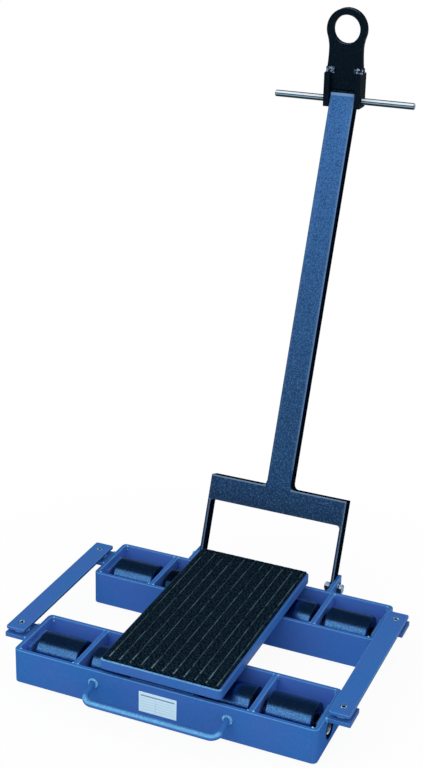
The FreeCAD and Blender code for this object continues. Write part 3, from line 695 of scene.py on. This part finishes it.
def weld(name, body, seams, bead_radius, ripple, paint):
    """One mesh of beads along several seams, each a list of points."""
    points, edges = [], []
    for seam in seams:
        edges += [(len(points) + k, len(points) + k + 1) for k in range(len(seam) - 1)]
        points += [tuple(point) for point in seam]
    path = bpy.data.meshes.new(name)
    path.from_pydata(points, edges, [])
    grown(name, body, path, weld_bead, {"Ripple": ripple, "Bead radius": bead_radius, "Finish": paint})


def circle(centre, first, second, radius, count=20):
    """A closed loop round a centre, in the plane of two unit vectors."""
    turns = [2 * math.pi * k / count for k in range(count + 1)]
    return [Vector(centre) + radius * (math.cos(turn) * Vector(first) + math.sin(turn) * Vector(second))
            for turn in turns]


# Seams inside a carriage: dividers to walls and the four inner corners
DIVIDER_HALF, CORNER_SETBACK = 0.005, 0.0045
SEAM_TOP, SEAM_FOOT = 0.0015, 0.009
for side in CARRIAGES:
    low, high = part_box(f"{side}_frame_ends")
    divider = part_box(f"{side}_dividers")[1].x - DIVIDER_HALF
    faces = [sign * (divider + step * DIVIDER_HALF) for sign in LEFT_AND_RIGHT for step in (-1, 1)]
    faces += [sign * (high.x - WALL - CORNER_SETBACK) for sign in LEFT_AND_RIGHT]
    seams = [[(x, y, high.z - SEAM_TOP), (x, y, high.z - SEAM_FOOT)]
             for x in faces for y in (low.y + WALL, high.y - WALL)]
    weld(f"{side}_box_welds", f"{side}_carriage", seams, bead_radius=0.0024, ripple=0.0028,
         paint=painted_weld)

# Seams round the lugs that carry the tie bars, and round the bosses on them
BOSS_RADIUS = (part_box("rear_tie_bosses")[1].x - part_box("rear_tie_bosses")[0].x) / 2 - tie_screw_x
OFF_WALL, BELOW_LUG_TOP, ABOVE_LUG_TOP = 0.0006, 0.001, 0.0004
for side in CARRIAGES:
    low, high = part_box(f"{side}_tie_lugs")
    wall_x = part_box(f"{side}_frame_ends")[1].x
    lug_top = high.z - BELOW_LUG_TOP
    seams = []
    for sign in LEFT_AND_RIGHT:
        x = sign * (wall_x + OFF_WALL)
        seams.append([(x, low.y, lug_top), (x, low.y, low.z), (x, high.y, low.z), (x, high.y, lug_top)])
        boss = Vector((sign * tie_screw_x, middle(f"{side}_axles").y, high.z + ABOVE_LUG_TOP))
        seams.append(circle(boss, SIDEWAYS, BACKWARDS, BOSS_RADIUS))
    weld(f"{side}_lug_welds", f"{side}_carriage", seams, bead_radius=0.0024, ripple=0.0030,
         paint=painted_weld)

# Collars at the roots of the carry handle
HANDLE_RADIUS, COLLAR, ROOT_SETBACK = 0.006, 0.0016, 0.0004
roots = [(sign * (handle_high.x - HANDLE_RADIUS), handle_high.y - ROOT_SETBACK, handle_high.z - HANDLE_RADIUS)
         for sign in LEFT_AND_RIGHT]
seams = [circle(root, SIDEWAYS, UPWARDS, HANDLE_RADIUS + COLLAR) for root in roots]
weld("handle_welds", "front_carriage", seams, bead_radius=0.0032, ripple=0.0016,
     paint=painted_weld)

# Seams between the ears and the rear wall
EAR_THICKNESS, EAR_STANDOFF, EAR_MARGIN = 0.008, 0.0004, 0.002
low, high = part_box("tow_ears")
heights = (low.z + EAR_MARGIN, high.z - EAR_MARGIN)
seams = [[(sign * x, low.y + EAR_STANDOFF, z) for z in heights]
         for sign in LEFT_AND_RIGHT for x in (high.x, high.x - EAR_THICKNESS)]
weld("ear_welds", "rear_carriage", seams, bead_radius=0.0028, ripple=0.0032,
     paint=painted_weld)

# Beads on top of the cheeks, two rows in front of the eye plate and two behind it
EYE_LEAN = math.radians(-1.5)
CHEEK_TOP, CHEEK_THICKNESS, EYE_HALF = 0.057, 0.012, 0.006
BEAD_ROWS = ((0.0015, 0.0020), (0.0075, 0.0004))
INNER_OVERHANG, OUTER_MARGIN = 0.004, 0.003
eye_up = Vector((0, math.sin(EYE_LEAN), math.cos(EYE_LEAN)))
eye_back = Vector((0, math.cos(EYE_LEAN), -math.sin(EYE_LEAN)))
cheek_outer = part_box("cheek_plates")[1].x
bead_ends = (cheek_outer - CHEEK_THICKNESS - INNER_OVERHANG, cheek_outer - OUTER_MARGIN)
seams = []
for sign in LEFT_AND_RIGHT:
    for face in (-1, 1):
        for rise, setback in BEAD_ROWS:
            start = rod + eye_up * (CHEEK_TOP + rise) + eye_back * (face * (EYE_HALF + setback))
            seams.append([start + Vector((sign * x, 0, 0)) for x in bead_ends])
weld("cheek_welds", "towing_eye", seams, bead_radius=0.0042, ripple=0.0036, paint=bare_weld())


# Ends of the mat's grooves: a plug of rubber at the front and the rear of each
PLUG_EASE, PLUG_OVERLAP = 0.0003, 0.0001


def row_tree():
    """Copies of a plug in a row, a pitch apart."""
    inputs = {"Plug": "Geometry", "Count": "Int", "Pitch": "Float", "Finish": "Material"}
    tree, given = geometry_tree("row_of_plugs", inputs, "Row")
    step = added(tree, "ShaderNodeCombineXYZ", {}, {"X": given["Pitch"]})[0]
    points = added(tree, "GeometryNodeMeshLine", {}, {"Count": given["Count"], "Offset": step})[0]
    plugs = added(tree, "GeometryNodeInstanceOnPoints", {}, {"Points": points, "Instance": given["Plug"]})[0]
    solid = added(tree, "GeometryNodeRealizeInstances", {}, {"Geometry": plugs})[0]
    coated = added(tree, "GeometryNodeSetMaterial", {}, {"Geometry": solid, "Material": given["Finish"]})[0]
    added(tree, "NodeGroupOutput", {}, {"Row": coated})
    return tree


def plug_pair(start):
    """Two blocks with eased edges that close the first groove at its front and rear ends."""
    shape = bmesh.new()
    for y in (mat_low.y + PLUG_LENGTH / 2, mat_high.y - PLUG_LENGTH / 2):
        size = Matrix.Diagonal((GROOVE_WIDTH + PLUG_OVERLAP, PLUG_LENGTH, PLUG_HEIGHT, 1))
        place = Matrix.Translation((start, y, PLUG_TOP - PLUG_HEIGHT / 2))
        bmesh.ops.create_cube(shape, size=1.0, matrix=place @ size)
    bmesh.ops.bevel(shape, geom=shape.edges[:], offset=PLUG_EASE, segments=2, affect="EDGES")
    mesh = bpy.data.meshes.new("groove_plugs")
    shape.to_mesh(mesh)
    shape.free()
    return mesh


first_groove = GROOVE_SHIFT - GROOVE_PITCH * (GROOVE_COUNT - 1) / 2
grown("groove_plugs", "load_plate", plug_pair(first_groove), row_tree(),
      {"Count": GROOVE_COUNT, "Pitch": GROOVE_PITCH, "Finish": slot_finish["mat_rubber"]})

# Studio: pale floor, white surround, soft light from the front and above
FLOOR_HALF, FLOOR_DROP = 8.0, 0.0002
WHITE = (1, 1, 1, 1)


def floor():
    """Pale floor, almost white to the camera, that keeps a faint shadow near the object."""
    pale, near_share, near, far = (0.90, 0.91, 0.92, 1), 0.94, 0.45, 1.00
    half, level = FLOOR_HALF, cad_box[0][2] - FLOOR_DROP
    corners = [(-half, -half, level), (half, -half, level), (half, half, level), (-half, half, level)]
    mesh = bpy.data.meshes.new("studio_floor")
    mesh.from_pydata(corners, [], [(0, 1, 2, 3)])
    piece = bpy.data.objects.new("studio_floor", mesh)
    scene.collection.objects.link(piece)
    tree = finish("studio_white")
    lit = tree.node("ShaderNodeBsdfDiffuse", {}, {"Color": pale})
    white = tree.node("ShaderNodeEmission", {}, {"Color": WHITE, "Strength": 1.0})
    seen = (tree.ray("Camera") + tree.ray("Glossy") + tree.ray("Transmission")).clamped()
    reach = tree.node("ShaderNodeVectorMath", {"operation": "LENGTH"}, {0: tree.point()}, "Value")
    share = seen * (near_share + (1 - near_share) * reach.between(near, far))
    mesh.materials.append(tree.surface(tree.node("ShaderNodeMixShader", {}, {0: share, 1: lit, 2: white})))


def surround():
    """White to the camera, an even grey fill to dull surfaces.

    To shiny surfaces it is white low in front and dim elsewhere.
    """
    fill, dim = (0.80, 0.80, 0.83, 1), (0.035, 0.048, 0.064, 1)
    horizon_behind, horizon_ahead = (0.12, 0.15, 0.19, 1), (0.85, 0.92, 1.0, 1)
    world = bpy.data.worlds.new("studio_surround")
    scene.world = world
    tree = Tree(world)
    direction = tree.node("ShaderNodeTexCoord", output="Generated")
    height = tree.node("ShaderNodeSeparateXYZ", {}, {0: direction}, "Z")
    ahead = (0 - tree.node("ShaderNodeSeparateXYZ", {}, {0: direction}, "Y")).between(-0.4, 0.4)
    horizon = tree.mix(ahead, horizon_behind, horizon_ahead)
    mirrored = tree.mix(height.between(0.30, 0.50), horizon, dim)
    colour = tree.mix(tree.ray("Glossy"), fill, mirrored)
    colour = tree.mix((tree.ray("Camera") + tree.ray("Transmission")).clamped(), colour, WHITE)
    light = tree.node("ShaderNodeBackground", {}, {"Color": colour, "Strength": 1.0})
    tree.node("ShaderNodeOutputWorld", {}, {"Surface": light})


def softbox(name, place, aim, width, height, power):
    """A rectangular lamp at a place, turned to an aim."""
    light = bpy.data.lights.new(name, "AREA")
    light.shape, light.size, light.size_y, light.energy = "RECTANGLE", width, height, power
    lamp = bpy.data.objects.new(name, light)
    away = (Vector(place) - Vector(aim)).normalized()
    lamp.matrix_world = Matrix.Translation(place) @ away.to_track_quat("Z", "Y").to_matrix().to_4x4()
    scene.collection.objects.link(lamp)


floor()
surround()
softbox("overhead_softbox", place=(-0.4, -2.25, 2.25), aim=(0, 0, 0), width=3.4, height=2.16, power=25)

# Camera at the photograph's viewpoint
CAMERA_PLACE = (0.8963, -2.1654, 1.4088)
AZIMUTH, ELEVATION, ROLL = (math.radians(angle) for angle in (22.727, 21.769, 1.533))
LENS, SENSOR_WIDTH, FAR_CLIP = 65.65, 36.0, 50.0


def viewpoint():
    """The camera, from its place, angles and lens."""
    data = bpy.data.cameras.new("viewpoint")
    data.lens, data.sensor_width, data.clip_end = LENS, SENSOR_WIDTH, FAR_CLIP
    camera = bpy.data.objects.new("viewpoint", data)
    back = Vector((math.sin(AZIMUTH) * math.cos(ELEVATION), -math.cos(AZIMUTH) * math.cos(ELEVATION),
                   math.sin(ELEVATION)))
    level = Vector((math.cos(AZIMUTH), math.sin(AZIMUTH), 0))
    above = back.cross(level)
    right = math.cos(ROLL) * level + math.sin(ROLL) * above
    up = back.cross(right)
    turn = Matrix((right, up, back)).transposed().to_4x4()
    camera.matrix_world = Matrix.Translation(CAMERA_PLACE) @ turn
    scene.collection.objects.link(camera)
    scene.camera = camera


viewpoint()
